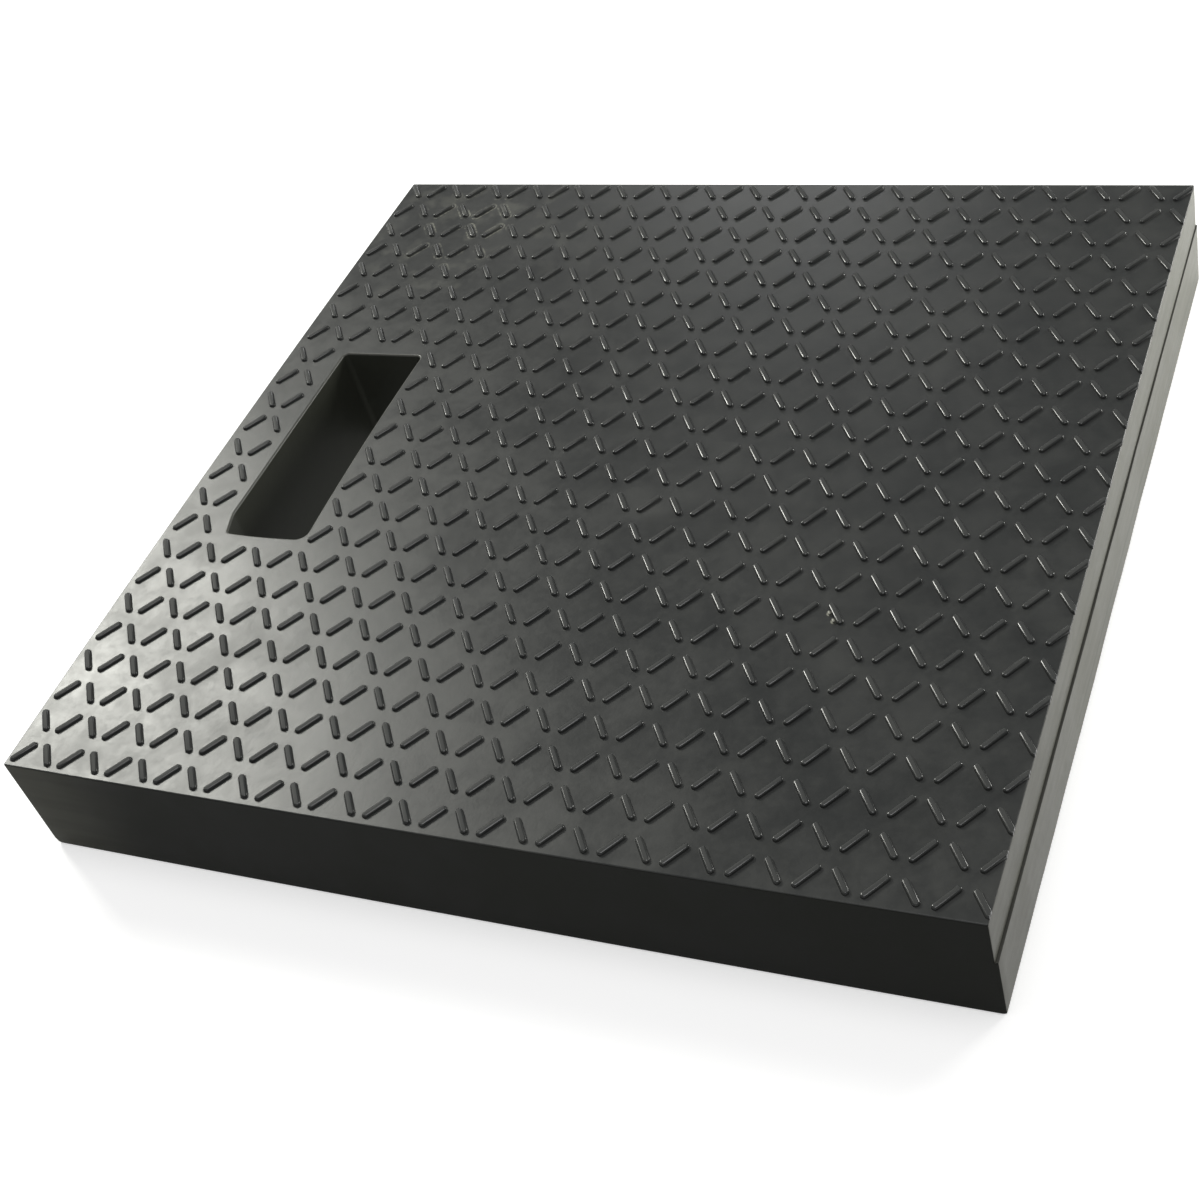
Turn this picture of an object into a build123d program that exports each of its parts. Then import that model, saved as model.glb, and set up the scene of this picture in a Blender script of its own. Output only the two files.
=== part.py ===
"""Rubber shim plate: a thick square pad with a hand slot and a barred tread.

The plate lies flat. X runs along its front edge, Y to its back edge, Z is up.
The origin is the middle of the plate's underside. All sizes are in mm.
"""

from build123d import *
import os
from math import atan2, cos, degrees, radians, sin, sqrt, tan

# Plan of the upper face, from corner to corner
plate_width = 397.2
plate_depth = 399.6
left_bulge = 2.2        # how far the cured rubber stands out at mid length
front_bulge = 0.7
corner_radius = 1.2     # upright corners of the mould

# Height, from the underside to the ground between the bars
plate_thickness = 51.0
bottom_radius = 0.8
rim_bevel = 0.5

# Parting line of the mould: along the right side the lower half stands out
parting_height = 30.0
ledge_at_front = 1.1
ledge_at_back = 0.6

# Hand slot, right through the plate near its left edge
slot_edge_distance = 27.7
slot_width = 41.3
slot_length = 124.3
slot_flare = 1.5        # its outer wall leans away towards the front
slot_front_radius = 4.0
slot_back_radius = 1.5
slot_rim_bevel = 0.8

# Tread of raised bars, which lean one way and the other by turns
column_pitch = 11.765
row_pitch = 16.725
tread_shift_right = 1.2
tread_shift_back = 0.1
tread_margin = 0.6      # flat border inside the rim that no bar crosses
slot_land = 1.5         # flat border round the slot
bar_length = 12.7
bar_width = 3.2
bar_height = 1.2
bar_draft = 30.0        # degrees that the walls of a bar lean in
bar_root = 0.6          # depth to which a bar is sunk into the plate

# The box round the plate is centred on the origin
right_x = (plate_width + left_bulge - max(ledge_at_front, ledge_at_back)) / 2
left_x = right_x - plate_width
back_y = (plate_depth + front_bulge) / 2
front_y = back_y - plate_depth
centre_x = (left_x + right_x) / 2
centre_y = (front_y + back_y) / 2

slot_left_x = left_x + slot_edge_distance
slot_right_x = slot_left_x + slot_width
slot_front_y = centre_y - slot_length / 2
slot_back_y = centre_y + slot_length / 2

# A bar runs along the diagonal of its own cell
bar_angle = degrees(atan2(row_pitch, column_pitch))
bar_reach_x = (bar_length * cos(radians(bar_angle)) + bar_width * sin(radians(bar_angle))) / 2
bar_reach_y = (bar_length * sin(radians(bar_angle)) + bar_width * cos(radians(bar_angle))) / 2


def front_edge(x):
    """Point of the bulging front edge, a flat arc from corner to corner."""
    arc_radius = (plate_width ** 2 / 4 + front_bulge ** 2) / (2 * front_bulge)
    rise = arc_radius - sqrt(arc_radius ** 2 - (x - centre_x) ** 2)
    return (x, front_y - front_bulge + rise)


def plan(front_ledge=0.0, back_ledge=0.0):
    """Outline of the plate, with its right side moved out by the ledge."""
    front_right = front_edge(right_x + front_ledge)
    back_right = (right_x + back_ledge, back_y)
    back_left = (left_x, back_y)
    front_left = (left_x, front_y)
    outline = Line(front_right, back_right) + Line(back_right, back_left)
    outline += ThreePointArc(back_left, (left_x - left_bulge, centre_y), front_left)
    outline += ThreePointArc(front_left, front_edge(centre_x), front_right)
    face = make_face(outline)
    return fillet(face.vertices(), corner_radius)


def block():
    """The two mould halves as one body, rounded below and bevelled above."""
    lower = extrude(plan(ledge_at_front, ledge_at_back), parting_height)
    underside = lower.faces().sort_by(Axis.Z)[0]
    lower = fillet(underside.edges(), bottom_radius)
    upper = extrude(plan(), plate_thickness - parting_height)
    ground = upper.faces().sort_by(Axis.Z)[-1]
    upper = chamfer(ground.edges(), rim_bevel)
    return lower + Pos(0, 0, parting_height) * upper


def slot_plan():
    """Outline of the hand slot, tight at the back and rounder at the front."""
    face = make_face(Polyline(
        (slot_right_x, slot_back_y),
        (slot_left_x, slot_back_y),
        (slot_left_x - slot_flare, slot_front_y),
        (slot_right_x, slot_front_y),
        close=True,
    ))
    back_corners = face.vertices().group_by(Axis.Y)[-1]
    face = fillet(back_corners, slot_back_radius)
    front_corners = face.vertices().group_by(Axis.Y)[0]
    return fillet(front_corners, slot_front_radius)


def with_slot(solid):
    """Cut the hand slot through a solid and bevel both of its rims."""
    solid -= extrude(slot_plan(), plate_thickness)
    for side in (0, -1):
        face = solid.faces().sort_by(Axis.Z)[side]
        solid = chamfer(face.inner_wires()[0].edges(), slot_rim_bevel)
    return solid


def tread_bar():
    """One bar along X, its ground level at Z = 0, drafted on all four sides."""
    spread = 2 * bar_root * tan(radians(bar_draft))
    foot = Rectangle(bar_length + spread, bar_width + spread)
    return Pos(0, 0, -bar_root) * extrude(foot, bar_root + bar_height, taper=bar_draft)


def meets_slot(x, y):
    """True where a bar at this place would reach the slot or its border."""
    space_x = slot_land + bar_reach_x
    space_y = slot_land + bar_reach_y
    across = slot_left_x - slot_flare - space_x < x < slot_right_x + space_x
    along = slot_front_y - space_y < y < slot_back_y + space_y
    return across and along


def meets_border(x, y):
    """True where a bar at this place may cross the flat border."""
    space_x = rim_bevel + tread_margin + bar_reach_x
    space_y = rim_bevel + tread_margin + bar_reach_y
    across = left_x + space_x < x < right_x - space_x
    along = front_y + space_y < y < back_y - space_y
    return not (across and along)


def tread():
    """All the bars, trimmed at the border and left out round the slot."""
    columns = round(plate_width / column_pitch)
    rows = round(plate_depth / row_pitch)
    first_x = centre_x + tread_shift_right - (columns - 1) * column_pitch / 2
    first_y = centre_y + tread_shift_back - (rows - 1) * row_pitch / 2
    area = offset(plan(), -(rim_bevel + tread_margin))
    space = Pos(0, 0, -bar_root) * extrude(area, bar_root + bar_height)
    pattern_bar = tread_bar()
    bars = []
    for column in range(columns):
        for row in range(rows):
            x = first_x + column * column_pitch
            y = first_y + row * row_pitch
            if meets_slot(x, y):
                continue
            lean = bar_angle if (column + row) % 2 == 0 else -bar_angle
            bar = Pos(x, y, 0) * Rot(0, 0, lean) * pattern_bar
            if meets_border(x, y):
                bar &= space
            bars.append(Pos(0, 0, plate_thickness) * bar)
    return bars


def plate():
    """The whole moulding: block, hand slot and tread in one solid."""
    return with_slot(block()).fuse(*tread())


def main():
    os.makedirs("parts", exist_ok=True)
    export_step(plate(), "parts/plate.step")


if __name__ == "__main__":
    main()
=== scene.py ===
"""Rubber shim plate, dressed and lit on a plain studio floor.

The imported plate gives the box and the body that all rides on. One moulding stands for it here, with its rims, its
parting ledge, its hand slot and every bar of the tread in the round. Lengths are in metres.
"""

from __future__ import annotations

import logging
import math
from collections.abc import Callable, Iterable, Sequence
from dataclasses import dataclass
from enum import Enum

import bmesh
import bpy
from mathutils import Matrix, Vector
from mathutils.noise import noise

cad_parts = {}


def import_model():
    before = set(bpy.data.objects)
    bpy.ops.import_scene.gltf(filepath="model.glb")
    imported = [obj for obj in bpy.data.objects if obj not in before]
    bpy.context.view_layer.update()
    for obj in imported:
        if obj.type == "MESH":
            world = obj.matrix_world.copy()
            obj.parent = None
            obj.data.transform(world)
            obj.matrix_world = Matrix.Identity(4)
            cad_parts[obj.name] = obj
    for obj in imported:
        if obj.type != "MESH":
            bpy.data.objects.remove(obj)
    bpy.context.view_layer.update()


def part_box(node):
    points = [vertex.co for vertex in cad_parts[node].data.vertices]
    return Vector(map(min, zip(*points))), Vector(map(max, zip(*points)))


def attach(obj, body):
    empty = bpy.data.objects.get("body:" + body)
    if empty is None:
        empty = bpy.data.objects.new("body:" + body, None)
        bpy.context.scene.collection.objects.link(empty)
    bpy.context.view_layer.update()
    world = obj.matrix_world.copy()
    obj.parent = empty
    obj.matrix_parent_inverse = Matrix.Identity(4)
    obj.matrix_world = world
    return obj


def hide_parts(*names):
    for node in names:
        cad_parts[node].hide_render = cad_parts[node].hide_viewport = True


MM = 0.001
log = logging.getLogger("shim_plate")

Socket = bpy.types.NodeSocket
Value = Socket | float | int | bool | Sequence[float]


class Finish(Enum):
    """The faces of the moulding that have a finish of their own."""

    TREAD = 0
    MOULDED_SIDE = 1
    SAWN_SIDE = 2
    SLOT = 3
    # the slot's upper rim, painted pale as a highlight
    WORN_RIM = 4


@dataclass(frozen=True)
class PlateSizes:
    """Sizes of the moulding that its box doesn't give."""

    left_bulge: float = 2.2 * MM
    front_bulge: float = 0.7 * MM
    ledge_at_front: float = 1.1 * MM
    ledge_at_back: float = 0.6 * MM
    parting_height: float = 30.0 * MM
    bar_height: float = 1.2 * MM
    corner_radius: float = 0.8 * MM
    worn_corner_radius: float = 3.2 * MM
    worn_corner_height: float = 3.5 * MM
    bottom_radius: float = 1.0 * MM
    rim_radius: float = 0.5 * MM
    ledge_rounding: float = 0.2 * MM
    ledge_waver: float = 0.2 * MM
    support: float = 0.4 * MM


@dataclass(frozen=True)
class SlotSizes:
    """Sizes of the hand slot, and its place from the left edge."""

    edge_distance: float = 28.2 * MM
    width: float = 41.6 * MM
    length: float = 123.8 * MM
    shift_front: float = 0.5 * MM
    skew: float = 0.7 * MM
    front_bow: float = 0.4 * MM
    waist: float = 1.1 * MM
    heel: float = 12.0 * MM
    heel_flare: float = 1.2 * MM
    toe_in: float = 2.0 * MM
    toe_radius: float = 2.0 * MM
    front_radius: float = 5.0 * MM
    back_radius: float = 2.5 * MM
    heel_radius: float = 10.0 * MM
    rim_radius: float = 0.8 * MM
    land: float = 1.5 * MM


@dataclass(frozen=True)
class TreadSizes:
    """Sizes of the tread's bars and of the cells that hold them."""

    columns: int = 34
    rows: int = 24
    column_pitch: float = 11.765 * MM
    row_pitch: float = 16.725 * MM
    shift_right: float = 1.2 * MM
    shift_back: float = 0.1 * MM
    bar_length: float = 12.2 * MM
    bar_width: float = 2.75 * MM
    bar_root: float = 0.6 * MM
    foot_spread: float = 1.08
    foot_height: float = 0.12 * MM
    crown: float = 3.0
    end_steps: int = 5
    profile: tuple[float, ...] = (0.97, 0.9, 0.8, 0.64, 0.38)
    seed: int = 7

    @property
    def lean(self) -> float:
        """Angle of a bar from the front edge, along its cell's diagonal."""
        return math.atan2(self.row_pitch, self.column_pitch)


@dataclass(frozen=True)
class TearSizes:
    """Nubs of torn rubber that stand along the left flank of one bar."""

    column: int = 26
    row: int = 7
    along: tuple[float, ...] = (-1.4 * MM, 3.1 * MM)
    aside: float = 2.1 * MM
    length: float = 2.4 * MM
    width: float = 1.1 * MM
    height: float = 0.9 * MM


@dataclass(frozen=True)
class RoundedOutline:
    """A closed outline with rounded corners, whose sides may bow outwards.

    Its corners run anticlockwise, and side i leaves corner i. All its rings have as many points, so that they join.
    """

    corners: tuple[Vector, ...]
    radii: tuple[float, ...]
    bulges: tuple[float, ...]
    side_steps: tuple[int, ...]
    corner_steps: int = 5

    def ring(self, grow: float = 0.0, radii: Sequence[float] | None = None) -> list[tuple[Vector, Vector]]:
        """Points of the outline with their outward normals.

        Args:
            grow: how far the outline moves outwards, or inwards below 0.
            radii: corner radii that replace the outline's own.

        Returns:
            Pairs of point and normal, anticlockwise, flat in X and Y.
        """
        arcs = [self._arc(i, grow, (radii or self.radii)[i]) for i in range(len(self.corners))]
        points: list[tuple[Vector, Vector]] = []
        for i, arc in enumerate(arcs):
            points += arc
            start, normal = arc[-1]
            end = arcs[(i + 1) % len(arcs)][0][0]
            for step in range(1, self.side_steps[i]):
                t = step / self.side_steps[i]
                bow = normal * (self.bulges[i] * 4 * t * (1 - t))
                points.append((start.lerp(end, t) + bow, normal))
        return points

    def _arc(self, i: int, grow: float, radius: float) -> list[tuple[Vector, Vector]]:
        """The rounding of one corner.

        Args:
            i: number of the corner.
            grow: how far the outline moves outwards.
            radius: radius of the corner before it grows.

        Returns:
            Pairs of point and normal.
        """
        corner = self.corners[i]
        before = (corner - self.corners[i - 1]).normalized()
        after = (self.corners[(i + 1) % len(self.corners)] - corner).normalized()
        first = Vector((before.y, -before.x))
        last = Vector((after.y, -after.x))
        mitre = (first + last) / (1 + first.dot(last))
        radius = max(radius + grow, 0.0)
        centre = corner + mitre * (grow - radius)
        turn = first.angle(last)
        arc = []
        for step in range(self.corner_steps + 1):
            normal = Matrix.Rotation(turn * step / self.corner_steps, 2) @ first
            arc.append((centre + normal * radius, normal))
        return arc


class MeshMaker:
    """Builds one closed mesh from rings of points."""

    def __init__(self) -> None:
        """Start with an empty mesh."""
        self.bm = bmesh.new()

    def loop(self, points: Iterable[Vector]) -> list[bmesh.types.BMVert]:
        """Add a closed ring of points.

        Args:
            points: places of the points.

        Returns:
            The new vertices.
        """
        return [self.bm.verts.new(p) for p in points]

    def skin(self, loops: Sequence[list[bmesh.types.BMVert]]) -> None:
        """Join rings of as many points with quads, each to the next.

        Args:
            loops: the rings, in order.
        """
        for low, high in zip(loops, loops[1:]):
            for i in range(len(low)):
                j = (i + 1) % len(low)
                self.bm.faces.new((low[i], low[j], high[j], high[i]))

    def cap(self, *loops: list[bmesh.types.BMVert]) -> None:
        """Close a flat face that one ring bounds, or two with a hole between.

        Args:
            loops: the outer ring, and any ring of a hole.
        """
        edges = []
        for ring in loops:
            for i, vert in enumerate(ring):
                edge = self.bm.edges.get((vert, ring[(i + 1) % len(ring)]))
                if edge:
                    edges.append(edge)
        bmesh.ops.triangle_fill(self.bm, use_beauty=True, edges=edges, normal=Vector((0, 0, 1)))

    def finish(self, name: str) -> bpy.types.Object:
        """Merge what coincides, turn the faces outwards and make an object.

        Args:
            name: name of the object.

        Returns:
            The object, linked to the scene at the origin.
        """
        merge = 1e-6
        bmesh.ops.remove_doubles(self.bm, verts=self.bm.verts, dist=merge)
        bmesh.ops.dissolve_degenerate(self.bm, dist=merge, edges=self.bm.edges)
        bmesh.ops.recalc_face_normals(self.bm, faces=self.bm.faces)
        open_edges = sum(1 for edge in self.bm.edges if len(edge.link_faces) != 2)
        if open_edges:
            log.warning("%s has %d open edges", name, open_edges)
        mesh = bpy.data.meshes.new(name)
        self.bm.to_mesh(mesh)
        self.bm.free()
        piece = bpy.data.objects.new(name, mesh)
        bpy.context.scene.collection.objects.link(piece)
        return piece


class Wiring:
    """Adds nodes to a tree and joins them."""

    def __init__(self, tree: bpy.types.NodeTree) -> None:
        """Take the tree to work on.

        Args:
            tree: a shader or geometry tree.
        """
        self.tree = tree

    def node(self, kind: str, inputs: dict[str | int, Value] | None = None, **settings: object) -> bpy.types.Node:
        """Add a node.

        Args:
            kind: the node's type.
            inputs: a value or a socket to join for each named or numbered input.
            settings: the node's own settings.

        Returns:
            The new node.
        """
        made = self.tree.nodes.new(kind)
        for name, value in settings.items():
            setattr(made, name, value)
        for key, value in (inputs or {}).items():
            self.set(made.inputs[key], value)
        return made

    def set(self, socket: Socket, value: Value) -> None:
        """Give a socket a value, or join another socket to it.

        Args:
            socket: the input.
            value: a plain value or an output.
        """
        if isinstance(value, bpy.types.NodeSocket):
            self.tree.links.new(value, socket)
        else:
            socket.default_value = value

    def math(self, operation: str, first: Value, second: Value = 0.0, third: Value = 0.0) -> Socket:
        """Work out one sum of numbers.

        Args:
            operation: name of the sum.
            first: first number or socket.
            second: second number or socket.
            third: third number or socket.

        Returns:
            The result's socket.
        """
        made = self.node("ShaderNodeMath", {0: first, 1: second, 2: third}, operation=operation)
        return made.outputs[0]

    def vector(self, operation: str, first: Value, second: Value) -> Socket:
        """Work out one sum of vectors.

        Args:
            operation: name of the sum.
            first: first vector or socket.
            second: second vector or socket.

        Returns:
            The result's socket.
        """
        made = self.node("ShaderNodeVectorMath", {0: first, 1: second}, operation=operation)
        return made.outputs[0]

    def ramp(self, value: Value, low: float, high: float, start: float = 0.0, end: float = 1.0) -> Socket:
        """Turn a number's range smoothly into another.

        Args:
            value: the number.
            low: where the result is at its start.
            high: where the result is at its end.
            start: result at low.
            end: result at high.

        Returns:
            The result's socket.
        """
        made = self.node(
            "ShaderNodeMapRange",
            {"Value": value, "From Min": low, "From Max": high, "To Min": start, "To Max": end},
            interpolation_type="SMOOTHSTEP",
        )
        return made.outputs[0]

    def mix(self, share: Value, first: Value, second: Value) -> Socket:
        """Mix two colours.

        Args:
            share: how much of the second colour.
            first: first colour.
            second: second colour.

        Returns:
            The colour's socket.
        """
        made = self.node("ShaderNodeMix", {0: share}, data_type="RGBA")
        self.set(made.inputs[6], first)
        self.set(made.inputs[7], second)
        return made.outputs[2]


class TreadTree:
    """The geometry tree that lays the bars over the block and joins them to it."""

    INPUTS = (
        ("Bar", "NodeSocketObject"),
        ("Nubs", "NodeSocketObject"),
        ("Trim", "NodeSocketObject"),
        ("Columns", "NodeSocketInt"),
        ("Rows", "NodeSocketInt"),
        ("Column Pitch", "NodeSocketFloat"),
        ("Row Pitch", "NodeSocketFloat"),
        ("Centre", "NodeSocketVector"),
        ("Lean", "NodeSocketFloat"),
        ("Unevenness", "NodeSocketFloat"),
        ("Slot Low", "NodeSocketVector"),
        ("Slot High", "NodeSocketVector"),
        ("Seed", "NodeSocketInt"),
        ("Rubber", "NodeSocketMaterial"),
    )

    def __init__(self) -> None:
        """Build the tree, with its named inputs."""
        self.tree = bpy.data.node_groups.new("tread_bars", "GeometryNodeTree")
        face = self.tree.interface
        face.new_socket(name="Block", in_out="INPUT", socket_type="NodeSocketGeometry")
        for name, kind in self.INPUTS:
            face.new_socket(name=name, in_out="INPUT", socket_type=kind)
        face.new_socket(name="Moulding", in_out="OUTPUT", socket_type="NodeSocketGeometry")
        self.wires = Wiring(self.tree)
        self.given = self.wires.node("NodeGroupInput").outputs
        self._build()

    def _build(self) -> None:
        """Lay the cells, stand a bar on each, trim them and join them to the block."""
        w = self.wires
        given = self.given
        width = w.math("MULTIPLY", w.math("SUBTRACT", given["Columns"], 1.0), given["Column Pitch"])
        depth = w.math("MULTIPLY", w.math("SUBTRACT", given["Rows"], 1.0), given["Row Pitch"])
        grid = w.node("GeometryNodeMeshGrid", {
            "Size X": width, "Size Y": depth, "Vertices X": given["Columns"], "Vertices Y": given["Rows"],
        })
        odd = self._odd_cell(width, depth)
        lean = w.math("MULTIPLY", given["Lean"], w.math("SUBTRACT", 1.0, w.math("MULTIPLY", odd, 2.0)))
        kept = w.node("GeometryNodeDeleteGeometry", {"Geometry": grid.outputs["Mesh"]}, domain="POINT")
        w.set(kept.inputs["Selection"], self._over_slot())
        slack = w.node("FunctionNodeRandomValue", {"Seed": given["Seed"]}, data_type="FLOAT_VECTOR")
        span = w.node("ShaderNodeCombineXYZ", {0: given["Unevenness"], 1: given["Unevenness"], 2: given["Unevenness"]})
        one = (1.0, 1.0, 1.0)
        w.set(slack.inputs["Min"], w.vector("SUBTRACT", one, span.outputs[0]))
        w.set(slack.inputs["Max"], w.vector("ADD", one, span.outputs[0]))
        turn = w.node("ShaderNodeCombineXYZ", {"Z": lean})
        bar = w.node("GeometryNodeObjectInfo", {"Object": given["Bar"]})
        bars = w.node("GeometryNodeInstanceOnPoints", {
            "Points": kept.outputs[0], "Instance": bar.outputs["Geometry"], "Rotation": turn.outputs[0],
            "Scale": slack.outputs["Value"],
        })
        placed = w.node("GeometryNodeTransform", {"Geometry": bars.outputs[0], "Translation": given["Centre"]})
        real = w.node("GeometryNodeRealizeInstances", {"Geometry": placed.outputs[0]})
        trim = w.node("GeometryNodeObjectInfo", {"Object": given["Trim"]})
        trimmed = w.node("GeometryNodeMeshBoolean", operation="INTERSECT", solver="MANIFOLD")
        w.set(trimmed.inputs["Mesh 2"], real.outputs[0])
        w.set(trimmed.inputs["Mesh 2"], trim.outputs["Geometry"])
        joined = w.node("GeometryNodeMeshBoolean", operation="UNION", solver="MANIFOLD")
        w.set(joined.inputs["Mesh 2"], given["Block"])
        w.set(joined.inputs["Mesh 2"], trimmed.outputs[0])
        nubs = w.node("GeometryNodeObjectInfo", {"Object": given["Nubs"]})
        w.set(joined.inputs["Mesh 2"], nubs.outputs["Geometry"])
        dressed = w.node("GeometryNodeSetMaterial", {"Geometry": joined.outputs[0], "Material": given["Rubber"]})
        w.node("NodeGroupOutput", {0: dressed.outputs[0]})

    def _odd_cell(self, width: Socket, depth: Socket) -> Socket:
        """Tell every other cell from its neighbours.

        Args:
            width: from the first column to the last.
            depth: from the first row to the last.

        Returns:
            1 where column and row add up to an odd number, or 0.
        """
        w = self.wires
        place = w.node("ShaderNodeSeparateXYZ", {0: w.node("GeometryNodeInputPosition").outputs[0]}).outputs
        counts = []
        for along, size, pitch in (("X", width, "Column Pitch"), ("Y", depth, "Row Pitch")):
            start = w.math("ADD", place[along], w.math("MULTIPLY", size, 0.5))
            counts.append(w.math("ROUND", w.math("DIVIDE", start, self.given[pitch])))
        return w.math("FLOORED_MODULO", w.math("ADD", *counts), 2.0)

    def _over_slot(self) -> Socket:
        """Pick out the cells whose bars would reach the hand slot.

        Returns:
            1 for such a cell, or 0.
        """
        w = self.wires
        place = w.vector("ADD", w.node("GeometryNodeInputPosition").outputs[0], self.given["Centre"])
        spots = w.node("ShaderNodeSeparateXYZ", {0: place}).outputs
        lows = w.node("ShaderNodeSeparateXYZ", {0: self.given["Slot Low"]}).outputs
        highs = w.node("ShaderNodeSeparateXYZ", {0: self.given["Slot High"]}).outputs
        inside = []
        for along in ("X", "Y"):
            inside.append(w.math("GREATER_THAN", spots[along], lows[along]))
            inside.append(w.math("LESS_THAN", spots[along], highs[along]))
        across = w.math("MULTIPLY", inside[0], inside[1])
        return w.math("MULTIPLY", across, w.math("MULTIPLY", inside[2], inside[3]))

    def run(self, piece: bpy.types.Object, values: dict[str, object]) -> bpy.types.Object:
        """Run the tree on a piece and keep the result as a plain mesh.

        Args:
            piece: the block that the bars join.
            values: a value for each named input.

        Returns:
            The piece, with its new mesh and no modifier.
        """
        modifier = piece.modifiers.new("tread", "NODES")
        modifier.node_group = self.tree
        for item in self.tree.interface.items_tree:
            if item.in_out == "INPUT" and item.name in values:
                modifier[item.identifier] = values[item.name]
        ready = piece.evaluated_get(bpy.context.evaluated_depsgraph_get())
        mesh = bpy.data.meshes.new_from_object(ready)
        piece.modifiers.remove(modifier)
        blank = piece.data
        piece.data = mesh
        bpy.data.meshes.remove(blank)
        return piece


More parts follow.
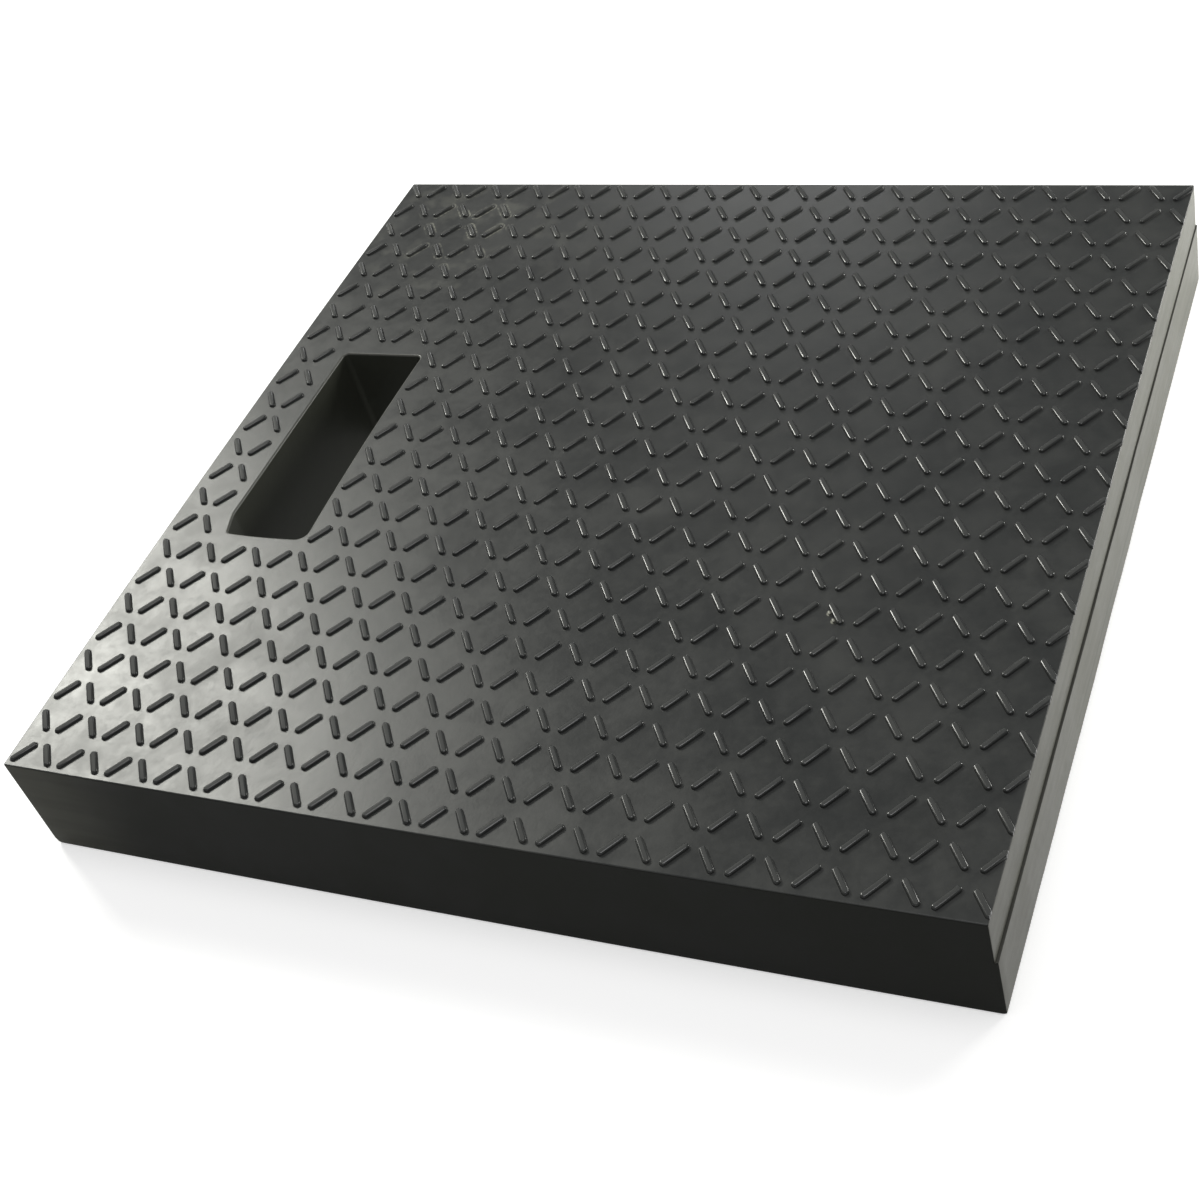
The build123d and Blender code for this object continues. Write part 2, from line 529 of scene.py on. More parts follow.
class ShimPlate:
    """The whole moulding: block, hand slot, parting ledge and tread."""

    def __init__(self, low: Vector, high: Vector) -> None:
        """Work out the plate's places from its box.

        Args:
            low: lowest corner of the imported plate.
            high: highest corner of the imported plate.
        """
        self.sizes = PlateSizes()
        self.slot = SlotSizes()
        self.tread = TreadSizes()
        self.tear = TearSizes()
        self.ground = high.z - self.sizes.bar_height
        self.left = low.x + self.sizes.left_bulge
        self.right = high.x - max(self.sizes.ledge_at_front, self.sizes.ledge_at_back)
        self.back = high.y
        self.front = low.y + self.sizes.front_bulge
        self.centre = Vector(((self.left + self.right) / 2, (self.front + self.back) / 2, self.ground))
        self.outline = self._outline()
        self.slot_outline = self._slot_outline()

    def _outline(self) -> RoundedOutline:
        """Outline of the upper half, from its front left corner."""
        s = self.sizes
        return RoundedOutline(
            corners=(
                Vector((self.left, self.front)),
                Vector((self.right, self.front)),
                Vector((self.right, self.back)),
                Vector((self.left, self.back)),
            ),
            radii=(s.corner_radius,) * 4,
            bulges=(s.front_bulge, 0.0, 0.0, s.left_bulge),
            side_steps=(40, 80, 24, 40),
        )

    def _slot_outline(self) -> RoundedOutline:
        """Outline of the hand slot, from its front left corner."""
        s = self.slot
        left = self.left + s.edge_distance
        right = left + s.width
        front = self.centre.y - s.shift_front - s.length / 2
        back = front + s.length
        return RoundedOutline(
            corners=(
                Vector((left + s.toe_in, front)),
                Vector((right, front)),
                Vector((right, back)),
                Vector((left, back - s.skew)),
                Vector((left - s.heel_flare, front + s.heel)),
            ),
            radii=(s.toe_radius, s.front_radius, s.back_radius, s.back_radius, s.heel_radius),
            bulges=(s.front_bow, -s.waist, 0.0, 0.0, 0.0),
            side_steps=(8, 20, 6, 12, 4),
        )

    def cells_left_out(self) -> tuple[Vector, Vector]:
        """Corners of the field round the slot in which no bar stands in the middle of its cell."""
        s = self.tread
        reach_x = (s.bar_length * math.cos(s.lean) + s.bar_width * math.sin(s.lean)) / 2
        reach_y = (s.bar_length * math.sin(s.lean) + s.bar_width * math.cos(s.lean)) / 2
        space = Vector((reach_x + self.slot.land, reach_y + self.slot.land, 0.0))
        corners = self.slot_outline.corners
        low = Vector((min(c.x for c in corners), min(c.y for c in corners), 0.0))
        high = Vector((max(c.x for c in corners), max(c.y for c in corners), 0.0))
        return low - space, high + space

    def ledge(self, y: float) -> float:
        """How far the lower half stands out at a place along the right side.

        Args:
            y: the place.

        Returns:
            Width of the ledge there.
        """
        s = self.sizes
        t = (y - self.front) / (self.back - self.front)
        straight = s.ledge_at_front + (s.ledge_at_back - s.ledge_at_front) * t
        waver = noise(Vector((y / (38 * MM), 0.3, 0.0))) + 0.5 * noise(Vector((y / (11 * MM), 4.1, 0.0)))
        ends = 4 * t * (1 - t)
        return straight + s.ledge_waver * waver * ends

    def outer_ring(self, height: float, grow: float = 0.0, ledge_cut: float | None = None) -> list[Vector]:
        """One ring round the block.

        Args:
            height: height of the ring.
            grow: how far it stands out from the outline.
            ledge_cut: how much narrower the ledge is here, or None above it.

        Returns:
            Points of the ring.
        """
        s = self.sizes
        wear = max(0.0, 1 - height / s.worn_corner_height) ** 2
        radii = list(self.outline.radii)
        radii[0] += (s.worn_corner_radius - s.corner_radius) * wear
        points = []
        for point, normal in self.outline.ring(grow, radii):
            out = 0.0
            if ledge_cut is not None:
                out = max(normal.x, 0.0) * (self.ledge(point.y) - ledge_cut)
            points.append(Vector((point.x + out, point.y, height)))
        return points

    def slot_ring(self, height: float, grow: float = 0.0) -> list[Vector]:
        """One ring round the wall of the hand slot.

        Args:
            height: height of the ring.
            grow: how much wider it is than the slot.

        Returns:
            Points of the ring.
        """
        return [Vector((point.x, point.y, height)) for point, _ in self.slot_outline.ring(grow)]

    def block(self) -> bpy.types.Object:
        """The two mould halves with their rims rounded and the slot cut through."""
        s = self.sizes
        maker = MeshMaker()
        outer = []
        for degrees in (0, 22.5, 45, 67.5, 90):
            angle = math.radians(degrees)
            height = s.bottom_radius * (1 - math.cos(angle))
            outer.append(self.outer_ring(height, -s.bottom_radius * (1 - math.sin(angle)), 0.0))
        outer.append(self.outer_ring(s.bottom_radius + s.support, 0.0, 0.0))
        outer.append(self.outer_ring(s.worn_corner_height, 0.0, 0.0))
        outer.append(self.outer_ring(s.parting_height - s.ledge_rounding - s.support, 0.0, 0.0))
        for degrees in (0, 45, 90):
            angle = math.radians(degrees)
            height = s.parting_height - s.ledge_rounding * (1 - math.sin(angle))
            outer.append(self.outer_ring(height, 0.0, s.ledge_rounding * (1 - math.cos(angle))))
        outer.append(self.outer_ring(s.parting_height))
        outer.append(self.outer_ring(s.parting_height + s.support))
        outer.append(self.outer_ring(self.ground - s.rim_radius - s.support))
        for degrees in (0, 30, 60, 90):
            angle = math.radians(degrees)
            height = self.ground - s.rim_radius * (1 - math.sin(angle))
            outer.append(self.outer_ring(height, -s.rim_radius * (1 - math.cos(angle))))
        inner = self._slot_rings()
        outer_loops = [maker.loop(ring) for ring in outer]
        inner_loops = [maker.loop(ring) for ring in inner]
        maker.skin(outer_loops)
        maker.skin(inner_loops)
        maker.cap(outer_loops[0], inner_loops[0])
        maker.cap(outer_loops[-1], inner_loops[-1])
        return maker.finish("shim_plate")

    def _slot_rings(self) -> list[list[Vector]]:
        """Rings of the slot's wall, from the underside up, with both rims rounded."""
        s = self.slot
        steps = []
        for degrees in (0, 30, 60, 90):
            angle = math.radians(degrees)
            steps.append((s.rim_radius * (1 - math.cos(angle)), s.rim_radius * (1 - math.sin(angle))))
        steps.append((s.rim_radius + self.sizes.support, 0.0))
        lower = [self.slot_ring(height, grow) for height, grow in steps]
        upper = [self.slot_ring(self.ground - height, grow) for height, grow in reversed(steps)]
        return lower + upper

    def bar(self) -> bpy.types.Object:
        """One bar lying along X, with its ground level at Z = 0."""
        maker = MeshMaker()
        self._ridge(maker, self.tread.bar_length, self.tread.bar_width, self.sizes.bar_height, Matrix())
        return maker.finish("bar_pattern")

    def nub_places(self) -> list[Vector]:
        """Middles of the torn nubs, at ground level."""
        s = self.tread
        cell = self.centre + Vector((
            s.shift_right + (self.tear.column - (s.columns - 1) / 2) * s.column_pitch,
            s.shift_back + (self.tear.row - (s.rows - 1) / 2) * s.row_pitch,
            0.0,
        ))
        run = Vector((math.cos(s.lean), -math.sin(s.lean), 0.0))
        aside = Vector((-math.sin(s.lean), -math.cos(s.lean), 0.0)) * self.tear.aside
        return [cell + aside + run * along for along in self.tear.along]

    def nubs(self) -> bpy.types.Object:
        """The nubs beside the torn bar, in their place."""
        maker = MeshMaker()
        for spot in self.nub_places():
            place = Matrix.Translation(spot) @ Matrix.Rotation(-self.tread.lean, 4, "Z")
            self._ridge(maker, self.tear.length, self.tear.width, self.tear.height, place)
        return maker.finish("torn_nubs")

    def _ridge(self, maker: MeshMaker, length: float, width: float, height: float, place: Matrix) -> None:
        """Add one ridge with round ends, along X before it is placed.

        Args:
            maker: mesh that takes the ridge.
            length: its length.
            width: its width.
            height: its height over the ground.
            place: where it goes.
        """
        s = self.tread
        half_width = width / 2
        half_line = length / 2 - half_width
        levels = [(s.foot_spread, -s.bar_root), (s.foot_spread, -s.foot_height / 2), (1.0, s.foot_height)]
        for share in s.profile:
            rise = (1 - share ** s.crown) ** (1 / s.crown)
            levels.append((share, s.foot_height + rise * (height - s.foot_height)))
        loops = []
        for share, level in levels:
            ring = []
            for end in (1, -1):
                for step in range(s.end_steps + 1):
                    angle = math.pi * (step / s.end_steps - 0.5)
                    reach = half_width * share
                    x = end * (half_line + reach * math.cos(angle))
                    ring.append(place @ Vector((x, end * reach * math.sin(angle), level)))
            loops.append(maker.loop(ring))
        maker.skin(loops)
        maker.bm.faces.new(loops[-1])
        maker.bm.faces.new(reversed(loops[0]))

    def trim(self) -> bpy.types.Object:
        """The space over the plate in which the bars are kept."""
        clear = 0.02 * MM
        spare = 3 * MM
        ring = [point for point, _ in self.outline.ring(-clear)]
        maker = MeshMaker()
        low = maker.loop(Vector((p.x, p.y, self.ground - spare)) for p in ring)
        high = maker.loop(Vector((p.x, p.y, self.ground + spare)) for p in ring)
        maker.skin([low, high])
        maker.bm.faces.new(high)
        maker.bm.faces.new(reversed(low))
        return maker.finish("trim_space")

    def build(self, rubber: bpy.types.Material) -> bpy.types.Object:
        """Make the moulding with its tread.

        Args:
            rubber: finish of the tread.

        Returns:
            The finished piece.
        """
        s = self.tread
        block = self.block()
        bar = self.bar()
        nubs = self.nubs()
        trim = self.trim()
        slot_low, slot_high = self.cells_left_out()
        plate = TreadTree().run(block, {
            "Bar": bar,
            "Nubs": nubs,
            "Trim": trim,
            "Columns": s.columns,
            "Rows": s.rows,
            "Column Pitch": s.column_pitch,
            "Row Pitch": s.row_pitch,
            "Centre": self.centre + Vector((s.shift_right, s.shift_back, 0)),
            "Lean": s.lean,
            "Unevenness": 0.02,
            "Slot Low": slot_low,
            "Slot High": slot_high,
            "Seed": s.seed,
            "Rubber": rubber,
        })
        for tool in (bar, nubs, trim):
            bpy.data.objects.remove(tool)
        return plate

    def dress(self, plate: bpy.types.Object, finishes: dict[Finish, bpy.types.Material]) -> None:
        """Give each face its finish, and shade flat faces flat and round ones smooth.

        Args:
            plate: the moulding.
            finishes: a material for each finish.
        """
        mesh = plate.data
        mesh.set_sharp_from_angle(angle=math.radians(40))
        mesh.materials.clear()
        for finish in Finish:
            mesh.materials.append(finishes[finish])
        upright = 0.5
        level = 0.9999
        slot_low, slot_high = self.cells_left_out()
        tread_low = self.ground - self.sizes.rim_radius
        for face in mesh.polygons:
            across = slot_low.x < face.center.x < slot_high.x
            by_slot = across and slot_low.y < face.center.y < slot_high.y
            eased = self.ground - self.slot.rim_radius < face.center.z < self.ground - MM / 100
            at_right = face.center.x > self.right - MM / 10 and abs(face.normal.y) < upright
            # the slot's upper rim takes a pale finish: a painted highlight
            if by_slot and eased and face.normal.z > MM:
                finish = Finish.WORN_RIM
            elif face.center.z > tread_low and (face.normal.z > upright or face.center.z > self.ground):
                finish = Finish.TREAD
            elif at_right and face.normal.z > -upright:
                finish = Finish.SAWN_SIDE
            elif by_slot and abs(face.normal.z) < upright:
                finish = Finish.SLOT
            else:
                finish = Finish.MOULDED_SIDE
            face.material_index = finish.value
            at_rest = abs(face.center.z - self.ground) < MM / 10 or face.center.z < MM / 100
            face.use_smooth = not (abs(face.normal.z) > level and at_rest)


@dataclass(frozen=True)
class RubberFinish:
    """One finish of the rubber: its colours, its gloss and its marks."""

    name: str
    dark: tuple[float, float, float]
    pale: tuple[float, float, float]
    film: float
    roughness: float
    roughness_spread: float
    specular: float
    grain_size: float
    grain_depth: float
    ripple_depth: float
    swell_depth: float


@dataclass(frozen=True)
class Marks:
    """Masks of the marks that one finish alone has."""

    # pale: dust and bloom, and painted glints and sheen
    pale: Value = 0.0
    # dark: painted shade, and a darker level line on the sawn side
    dark: Value = 0.0
    polish: Value = 0.0
    dull: Value = 0.0


class ShaderGroups:
    """Shader groups that more than one finish uses."""

    def __init__(self) -> None:
        """Build the groups once."""
        self.film = self._film()
        self.grain = self._grain()

    @staticmethod
    def _group(name: str, inputs: Sequence[str], output: str) -> tuple[bpy.types.NodeTree, Wiring]:
        """Start a group that reads a place and puts out a number.

        Args:
            name: name of the group.
            inputs: names of its number inputs.
            output: name of its output.

        Returns:
            The tree and its wiring.
        """
        tree = bpy.data.node_groups.new(name, "ShaderNodeTree")
        tree.interface.new_socket(name="Place", in_out="INPUT", socket_type="NodeSocketVector")
        for item in inputs:
            tree.interface.new_socket(name=item, in_out="INPUT", socket_type="NodeSocketFloat")
        tree.interface.new_socket(name=output, in_out="OUTPUT", socket_type="NodeSocketFloat")
        return tree, Wiring(tree)

    def _film(self) -> bpy.types.NodeTree:
        """Cloudy film left by handling and wiping."""
        tree, w = self._group("wiped_film", ("Size", "Shift"), "Film")
        given = w.node("NodeGroupInput").outputs
        scale = w.math("DIVIDE", 1.0, given["Size"])
        broad = w.node("ShaderNodeTexNoise", {
            "Vector": given["Place"], "W": given["Shift"], "Scale": scale, "Detail": 4.0, "Roughness": 0.6,
            "Distortion": 0.6,
        }, noise_dimensions="4D")
        w.node("NodeGroupOutput", {0: w.ramp(broad.outputs["Fac"], 0.3, 0.72)})
        return tree

    def _grain(self) -> bpy.types.NodeTree:
        """Fine pebbled skin of moulded rubber."""
        tree, w = self._group("rubber_grain", ("Size",), "Height")
        given = w.node("NodeGroupInput").outputs
        scale = w.math("DIVIDE", 1.0, given["Size"])
        fine = w.node("ShaderNodeTexNoise", {
            "Vector": given["Place"], "Scale": scale, "Detail": 3.0, "Roughness": 0.55,
        })
        w.node("NodeGroupOutput", {0: fine.outputs["Fac"]})
        return tree

    def material(self, finish: RubberFinish, marks: Callable[[Wiring, Socket], Marks] | None) -> bpy.types.Material:
        """Make the material of one finish.

        Args:
            finish: what it looks like.
            marks: adds the marks that this finish alone has, and gives their masks.

        Returns:
            The material.
        """
        made = bpy.data.materials.new(finish.name)
        made.use_nodes = True
        made.node_tree.nodes.clear()
        w = Wiring(made.node_tree)
        place = w.node("ShaderNodeTexCoord").outputs["Object"]
        film = self._use(w, self.film, {"Place": place, "Size": 70 * MM, "Shift": 3.7})
        smudge = self._use(w, self.film, {"Place": place, "Size": 14 * MM, "Shift": 9.1})
        fleck = self._use(w, self.film, {"Place": place, "Size": 3.2 * MM, "Shift": 1.3})
        cloud = w.math("MULTIPLY_ADD", smudge, 0.3, w.math("MULTIPLY", film, 0.5))
        cloud = w.math("MULTIPLY_ADD", fleck, 0.2, cloud)
        colour = w.mix(w.math("MULTIPLY", cloud, finish.film), (*finish.dark, 1), (*finish.pale, 1))
        rough = w.ramp(cloud, 0.1, 0.9, finish.roughness, finish.roughness + finish.roughness_spread)
        grain = self._use(w, self.grain, {"Place": place, "Size": finish.grain_size})
        if marks:
            own = marks(w, place)
            # the pale marks hold dust and bloom, and also painted glints and sheen
            colour = w.mix(own.pale, colour, DUST_AND_SHEEN_COLOUR)
            # the dark marks paint shade in near black
            colour = w.mix(own.dark, colour, SHADE_AND_DARK_LINE_COLOUR)
            rough = w.math("ADD", rough, w.math("MULTIPLY", own.polish, -0.14))
            rough = w.math("ADD", rough, w.math("MULTIPLY", own.dull, 0.34))
            grain = w.math("MULTIPLY", grain, w.math("MULTIPLY_ADD", own.polish, -0.8, 1.0))
        ripple = self._use(w, self.grain, {"Place": place, "Size": 5 * MM})
        swell = self._use(w, self.grain, {"Place": place, "Size": 18 * MM})
        height = w.math("MULTIPLY_ADD", ripple, finish.ripple_depth, w.math("MULTIPLY", grain, finish.grain_depth))
        height = w.math("MULTIPLY_ADD", swell, finish.swell_depth, height)
        bump = w.node("ShaderNodeBump", {"Strength": 1.0, "Distance": 1.0, "Height": height})
        shader = w.node("ShaderNodeBsdfPrincipled", {
            "Base Color": colour, "Roughness": rough, "Specular IOR Level": finish.specular,
            "Normal": bump.outputs[0],
        })
        w.node("ShaderNodeOutputMaterial", {"Surface": shader.outputs[0]})
        return made

    @staticmethod
    def _use(w: Wiring, group: bpy.types.NodeTree, inputs: dict[str, Value]) -> Socket:
        """Put a group into a material.

        Args:
            w: wiring of the material.
            group: the group.
            inputs: a value or a socket for each of its inputs.

        Returns:
            The group's only output.
        """
        made = w.node("ShaderNodeGroup", node_tree=group)
        for name, value in inputs.items():
            w.set(made.inputs[name], value)
        return made.outputs[0]


class TreadMarks:
    """Marks of the tread: painted shade at the feet of the bars, worn bars, dust dried in the back left corner, and
    painted glints on the torn nubs.
    """

    def __init__(self, plate: ShimPlate, dusty: Vector) -> None:
        """Take the pattern that the marks follow.

        Args:
            plate: the moulding.
            dusty: middle of the dustiest part.
        """
        tread = plate.tread
        centre = plate.centre
        self.tread = tread
        self.no_bar_low, self.no_bar_high = plate.cells_left_out()
        self.nubs = plate.nub_places()
        self.first = Vector((
            centre.x + tread.shift_right - (tread.columns - 1) * tread.column_pitch / 2,
            centre.y + tread.shift_back - (tread.rows - 1) * tread.row_pitch / 2,
            0.0,
        ))
        self.dusty = dusty

    def __call__(self, w: Wiring, place: Socket) -> Marks:
        """Add the marks.

        Args:
            w: wiring of the material.
            place: the place on the piece.

        Returns:
            Masks of the marks.
        """
        gap = self._from_bar(w, place)
        edge = w.math("MULTIPLY", w.ramp(gap, 0.5 * MM, 1.0 * MM), w.ramp(gap, 1.2 * MM, 1.8 * MM, 1.0, 0.0))
        patches = w.node("ShaderNodeTexNoise", {"Vector": place, "Scale": 1 / (11 * MM), "Detail": 3.0}).outputs["Fac"]
        specks = w.node("ShaderNodeTexNoise", {"Vector": place, "Scale": 1 / (1.3 * MM), "Detail": 2.0}).outputs["Fac"]
        level = w.vector("MULTIPLY", place, (1.0, 1.0, 0.0))
        away = w.node("ShaderNodeVectorMath", {0: level, 1: self.dusty}, operation="DISTANCE").outputs["Value"]
        rings = w.math("MULTIPLY", w.ramp(patches, 0.44, 0.56), w.ramp(away, 12 * MM, 46 * MM, 0.8, 0.0))
        rings = w.math("MULTIPLY", rings, w.ramp(specks, 0.3, 0.6))
        swirls = w.math("MULTIPLY", w.ramp(patches, 0.5, 0.7), w.ramp(away, 10 * MM, 90 * MM, 0.16, 0.015))
        top = w.ramp(gap, -0.85 * MM, -0.55 * MM, 1.0, 0.0)
        shoulder = w.math("MULTIPLY", w.ramp(gap, -0.8 * MM, -0.55 * MM), w.ramp(gap, -0.15 * MM, 0.0, 1.0, 0.0))
        # foot: painted shade in the crease round the foot of each bar, which is darkened there and dulled
        foot = w.math("MULTIPLY", w.ramp(gap, -0.2 * MM, 0.0), w.ramp(gap, 0.1 * MM, 0.45 * MM, 1.0, 0.0))
        pale = w.math("MAXIMUM", w.math("MULTIPLY", edge, rings), swirls)
        # painted glints: the torn nubs and a ring round them take the pale colour, so that they shine white
        for nub in self.nubs:
            near = w.node("ShaderNodeVectorMath", {0: place, 1: nub}, operation="DISTANCE").outputs["Value"]
            pale = w.math("MAXIMUM", pale, w.ramp(near, 0.9 * MM, 1.4 * MM, 1.0, 0.0))
        return Marks(
            pale=pale,
            # dark: painted shade round the feet of the bars
            dark=w.math("MULTIPLY", foot, 0.55),
            polish=shoulder,
            dull=w.math("MAXIMUM", top, w.math("MULTIPLY", foot, 0.7)),
        )

    def _from_bar(self, w: Wiring, place: Socket) -> Socket:
        """Distance from the foot of the cell's own bar.

        Args:
            w: wiring of the material.
            place: the place on the piece.

        Returns:
            The distance, below 0 on the bar and very large where the cell has none.
        """
        t = self.tread
        local = w.node("ShaderNodeSeparateXYZ", {0: w.vector("SUBTRACT", place, self.first)}).outputs
        column = self._cell(w, local["X"], t.column_pitch, t.columns)
        row = self._cell(w, local["Y"], t.row_pitch, t.rows)
        middle_x = w.math("MULTIPLY", column, t.column_pitch)
        middle_y = w.math("MULTIPLY", row, t.row_pitch)
        across = w.math("SUBTRACT", local["X"], middle_x)
        along = w.math("SUBTRACT", local["Y"], middle_y)
        low, high = self.no_bar_low - self.first, self.no_bar_high - self.first
        empty = w.math("MULTIPLY", self._between(w, middle_x, low.x, high.x), self._between(w, middle_y, low.y, high.y))
        odd = w.math("FLOORED_MODULO", w.math("ADD", column, row), 2.0)
        across = w.math("MULTIPLY", across, w.math("MULTIPLY_ADD", odd, -2.0, 1.0))
        cos, sin = math.cos(t.lean), math.sin(t.lean)
        length = w.math("MULTIPLY_ADD", across, cos, w.math("MULTIPLY", along, sin))
        width = w.math("MULTIPLY_ADD", along, cos, w.math("MULTIPLY", across, -sin))
        beyond = w.math("MAXIMUM", w.math("SUBTRACT", w.math("ABSOLUTE", length), (t.bar_length - t.bar_width) / 2), 0.0)
        reach = w.math("SQRT", w.math("MULTIPLY_ADD", beyond, beyond, w.math("MULTIPLY", width, width)))
        return w.math("ADD", w.math("SUBTRACT", reach, t.bar_width / 2), empty)

    @staticmethod
    def _cell(w: Wiring, offset: Socket, pitch: float, count: int) -> Socket:
        """Number of the cell at an offset from the first cell's middle.

        Args:
            w: wiring of the material.
            offset: the offset.
            pitch: size of a cell.
            count: how many cells there are.

        Returns:
            The number, from 0.
        """
        number = w.math("ROUND", w.math("DIVIDE", offset, pitch))
        return w.math("MINIMUM", w.math("MAXIMUM", number, 0.0), count - 1.0)

    @staticmethod
    def _between(w: Wiring, value: Socket, low: float, high: float) -> Socket:
        """1 where a value lies between two others, or 0."""
        return w.math("MULTIPLY", w.math("GREATER_THAN", value, low), w.math("LESS_THAN", value, high))


@dataclass(frozen=True)
class SawnMarks:
    """Lengthwise streaks of the sawn side, painted shade on its parting ledge, a darker level line lower down, and
    painted shade towards its front end.
    """

    front: float
    parting: float
    second_line: float = 8.6 * MM
    front_shade_length: float = 170.0 * MM

    def __call__(self, w: Wiring, place: Socket) -> Marks:
        """Add the marks.

        Args:
            w: wiring of the material.
            place: the place on the piece.

        Returns:
            Masks of the marks.
        """
        drawn = w.vector("MULTIPLY", place, (1.0, 0.08, 1.0))
        streaks = w.node("ShaderNodeTexNoise", {
            "Vector": drawn, "Scale": 1 / (3.5 * MM), "Detail": 4.0, "Roughness": 0.6,
        }).outputs["Fac"]
        spots = w.node("ShaderNodeSeparateXYZ", {0: place}).outputs
        # painted shade along the parting ledge, where the lower half steps out
        ledge = w.ramp(self._off(w, spots["Z"], self.parting), 0.1 * MM, 0.7 * MM, 0.7, 0.0)
        line = w.ramp(self._off(w, spots["Z"], self.second_line), 0.1 * MM, 0.5 * MM, 0.35, 0.0)
        # painted shade towards the front end, darkest at the front and gone 170 mm back
        front_shade = w.ramp(spots["Y"], self.front, self.front + self.front_shade_length, 0.36, 0.0)
        return Marks(
            pale=w.ramp(streaks, 0.25, 0.75, 0.14, 0.36),
            dark=w.math("MAXIMUM", w.math("MAXIMUM", ledge, line), front_shade),
        )

    @staticmethod
    def _off(w: Wiring, value: Socket, middle: float) -> Socket:
        """How far a value is from another, either way."""
        return w.math("ABSOLUTE", w.math("SUBTRACT", value, middle))


@dataclass(frozen=True)
class SideBloomAndSheen:
    """Pale bloom on the left side and the ends that meet it, in level streaks, with painted sheen of the left lamp,
    fading to the right.
    """

    left: float
    reach: float = 62.0 * MM
    strength: float = 0.17

    def __call__(self, w: Wiring, place: Socket) -> Marks:
        """Add the marks.

        Args:
            w: wiring of the material.
            place: the place on the piece.

        Returns:
            Masks of the marks.
        """
        drawn = w.vector("MULTIPLY", place, (0.1, 0.1, 1.0))
        streaks = w.node("ShaderNodeTexNoise", {"Vector": drawn, "Scale": 1 / (7 * MM), "Detail": 3.0}).outputs["Fac"]
        across = w.node("ShaderNodeSeparateXYZ", {0: place}).outputs["X"]
        # paler towards the left: partly bloom, partly painted sheen of the left lamp
        fade = w.ramp(across, self.left, self.left + self.reach, self.strength, 0.0)
        return Marks(pale=w.math("MULTIPLY", fade, w.ramp(streaks, 0.3, 0.7, 0.8, 1.1)))


class Studio:
    """Floor, lights, world and camera."""

    def __init__(self, top_centre: Vector) -> None:
        """Take the middle of the plate's upper face.

        Args:
            top_centre: that point.
        """
        self.top_centre = top_centre

    def camera(self) -> None:
        """Stand the camera where the photograph was taken from."""
        eye_from_top = Vector((327.87, -534.15, 505.0)) * MM
        right = Vector((0.905252, 0.350627, -0.239957))
        down = Vector((0.091154, -0.711896, -0.696344))
        ahead = Vector((-0.414982, 0.608493, -0.676407))
        data = bpy.data.cameras.new("camera")
        data.lens = 57.43
        data.sensor_width = 36.0
        data.clip_end = 20.0
        eye = bpy.data.objects.new("camera", data)
        turn = Matrix((right, -down, -ahead)).transposed()
        eye.matrix_world = Matrix.Translation(self.top_centre + eye_from_top) @ turn.to_4x4()
        bpy.context.scene.collection.objects.link(eye)
        bpy.context.scene.camera = eye

    def lamp(self, name: str, place: Vector, size: float, power: float, warmth: float = 0.0) -> None:
        """Hang a square soft box that faces the plate.

        Args:
            name: name of the lamp.
            place: where it hangs, from the middle of the plate's upper face.
            size: side of the box.
            power: its power in watts.
            warmth: how much blue its light lacks.
        """
        data = bpy.data.lights.new(name, "AREA")
        data.shape = "SQUARE"
        data.size = size
        data.energy = power
        data.color = (1.0, 1.0, 1.0 - warmth)
        box = bpy.data.objects.new(name, data)
        box.matrix_world = Matrix.Translation(self.top_centre + place) @ place.to_track_quat("Z", "Y").to_matrix().to_4x4()
        bpy.context.scene.collection.objects.link(box)

    def lights(self) -> None:
        """Light the plate softly from the left, the back, the right and above."""
        self.lamp("left_box", Vector((-1.419, 0.75, 1.147)), 0.5, 22.5, 0.07)
        self.lamp("back_box", Vector((-0.634, 1.742, 0.749)), 0.4, 2.0)
        self.lamp("right_box", Vector((0.62, 0.55, 0.16)), 0.25, 3.7, 0.05)
        self.lamp("top_box", Vector((0.3, -0.17, 1.97)), 1.0, 13.0)

    def floor(self) -> None:
        """Lay the pale floor, which is part of the stage."""
        half = 6.0
        low = -0.1 * MM
        spots = [(-half, -half, low), (half, -half, low), (half, half, low), (-half, half, low)]
        mesh = bpy.data.meshes.new("floor")
        mesh.from_pydata(spots, [], [(0, 1, 2, 3)])
        floor = bpy.data.objects.new("floor", mesh)
        bpy.context.scene.collection.objects.link(floor)
        made = bpy.data.materials.new("pale_floor")
        made.use_nodes = True
        made.node_tree.nodes.clear()
        w = Wiring(made.node_tree)
        matt = w.node("ShaderNodeBsdfDiffuse", {"Color": (0.86, 0.86, 0.86, 1)})
        glow = w.node("ShaderNodeEmission", {"Color": (1, 1, 1, 1), "Strength": 0.5})
        path = w.node("ShaderNodeLightPath").outputs
        seen = w.math("MAXIMUM", path["Is Camera Ray"], w.math("MAXIMUM", path["Is Glossy Ray"], path["Is Transmission Ray"]))
        both = w.node("ShaderNodeAddShader", {0: matt.outputs[0], 1: glow.outputs[0]})
        shade = w.node("ShaderNodeMixShader", {0: seen, 1: matt.outputs[0], 2: both.outputs[0]})
        clear = w.node("ShaderNodeBsdfTransparent")
        below = w.node("ShaderNodeNewGeometry").outputs["Backfacing"]
        shown = w.node("ShaderNodeMixShader", {0: below, 1: shade.outputs[0], 2: clear.outputs[0]})
        w.node("ShaderNodeOutputMaterial", {"Surface": shown.outputs[0]})
        mesh.materials.append(made)

    def world(self) -> None:
        """A pale even room, as bright as the far floor where the camera looks past it."""
        made = bpy.data.worlds.new("room")
        made.use_nodes = True
        made.node_tree.nodes.clear()
        w = Wiring(made.node_tree)
        path = w.node("ShaderNodeLightPath").outputs
        strength = w.ramp(path["Is Camera Ray"], 0.0, 1.0, 0.25, 0.74)
        room = w.node("ShaderNodeBackground", {"Color": (1, 1, 1, 1), "Strength": strength})
        w.node("ShaderNodeOutputWorld", {"Surface": room.outputs[0]})
        bpy.context.scene.world = made

    def build(self) -> None:
        """Set up the whole stage."""
        self.camera()
        self.lights()
        self.floor()
        self.world()
        bpy.context.scene.view_settings.view_transform = "Standard"
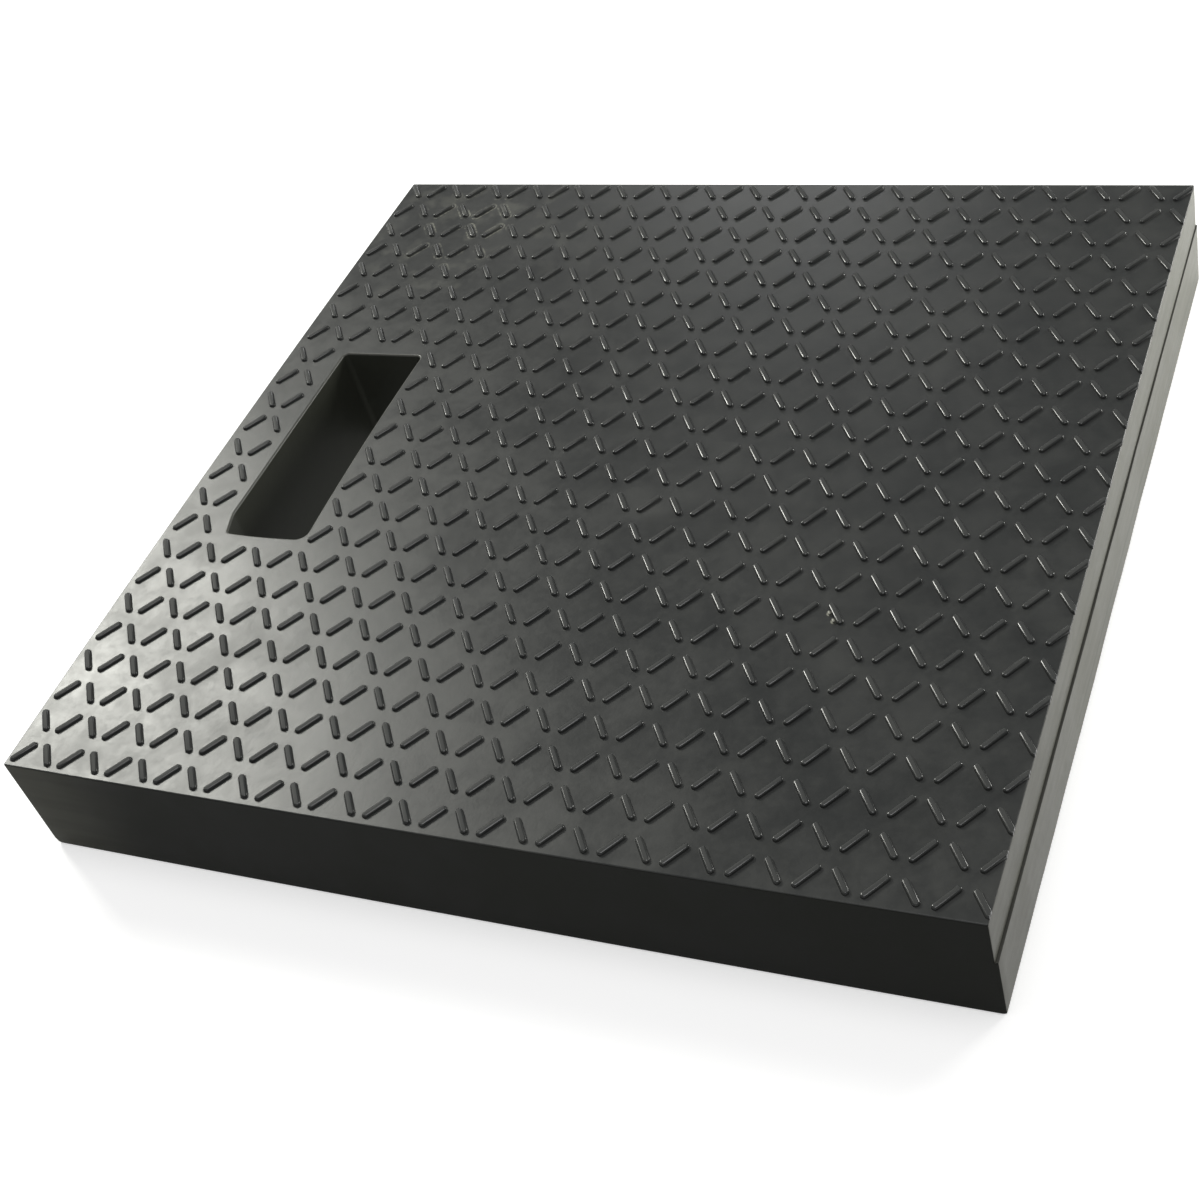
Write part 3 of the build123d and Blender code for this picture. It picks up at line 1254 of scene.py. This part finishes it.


# pale colour of dust and bloom, also used for painted glints on the torn nubs and painted sheen on the left side
DUST_AND_SHEEN_COLOUR = (0.27, 0.27, 0.225, 1.0)
# near black for the dark marks: painted shade at the bars' feet, on the sawn ledge and towards the sawn front end, and
# a darker level line on the sawn side
SHADE_AND_DARK_LINE_COLOUR = (0.004, 0.004, 0.004, 1.0)
TREAD_FINISH = RubberFinish(
    name="tread_rubber", dark=(0.0185, 0.0205, 0.0205), pale=(0.085, 0.086, 0.077), film=0.25,
    roughness=0.3, roughness_spread=0.1, specular=0.5, grain_size=1.1 * MM, grain_depth=0.018 * MM,
    ripple_depth=0.02 * MM, swell_depth=0.05 * MM,
)
MOULDED_FINISH = RubberFinish(
    name="moulded_rubber", dark=(0.007, 0.0075, 0.0065), pale=(0.026, 0.028, 0.022), film=0.4,
    roughness=0.5, roughness_spread=0.1, specular=0.05, grain_size=1.3 * MM, grain_depth=0.02 * MM,
    ripple_depth=0.0, swell_depth=0.03 * MM,
)
SAWN_FINISH = RubberFinish(
    name="sawn_rubber", dark=(0.10, 0.10, 0.086), pale=(0.2, 0.2, 0.17), film=0.3,
    roughness=0.42, roughness_spread=0.1, specular=0.25, grain_size=0.9 * MM, grain_depth=0.025 * MM,
    ripple_depth=0.03 * MM, swell_depth=0.03 * MM,
)
SLOT_FINISH = RubberFinish(
    name="slot_rubber", dark=(0.03, 0.032, 0.0245), pale=(0.07, 0.072, 0.058), film=0.4,
    roughness=0.5, roughness_spread=0.1, specular=0.12, grain_size=1.3 * MM, grain_depth=0.02 * MM,
    ripple_depth=0.0, swell_depth=0.03 * MM,
)
# pale finish of the slot's upper rim: a painted highlight
RIM_HIGHLIGHT_FINISH = RubberFinish(
    name="painted_rim_highlight", dark=(0.05, 0.052, 0.045), pale=(0.13, 0.13, 0.115), film=0.6,
    roughness=0.33, roughness_spread=0.1, specular=0.5, grain_size=1.3 * MM, grain_depth=0.01 * MM,
    ripple_depth=0.0, swell_depth=0.0,
)


def main() -> None:
    """Build the plate and its stage."""
    logging.basicConfig(level=logging.INFO, format="%(name)s: %(message)s")
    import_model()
    low, high = (Vector(corner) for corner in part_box("plate"))
    maker = ShimPlate(low, high)
    dusty = Vector((maker.centre.x - 150 * MM, maker.centre.y + 160 * MM, 0.0))
    groups = ShaderGroups()
    finishes = {
        Finish.TREAD: groups.material(TREAD_FINISH, TreadMarks(maker, dusty)),
        Finish.MOULDED_SIDE: groups.material(MOULDED_FINISH, SideBloomAndSheen(maker.left)),
        Finish.SAWN_SIDE: groups.material(SAWN_FINISH, SawnMarks(maker.front, maker.sizes.parting_height)),
        Finish.SLOT: groups.material(SLOT_FINISH, None),
        Finish.WORN_RIM: groups.material(RIM_HIGHLIGHT_FINISH, None),
    }
    plate = maker.build(finishes[Finish.TREAD])
    maker.dress(plate, finishes)
    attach(plate, "root")
    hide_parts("plate")
    log.info("%s: %d faces, rides on root", plate.name, len(plate.data.polygons))
    Studio(maker.centre).build()


if __name__ == "__main__":
    main()
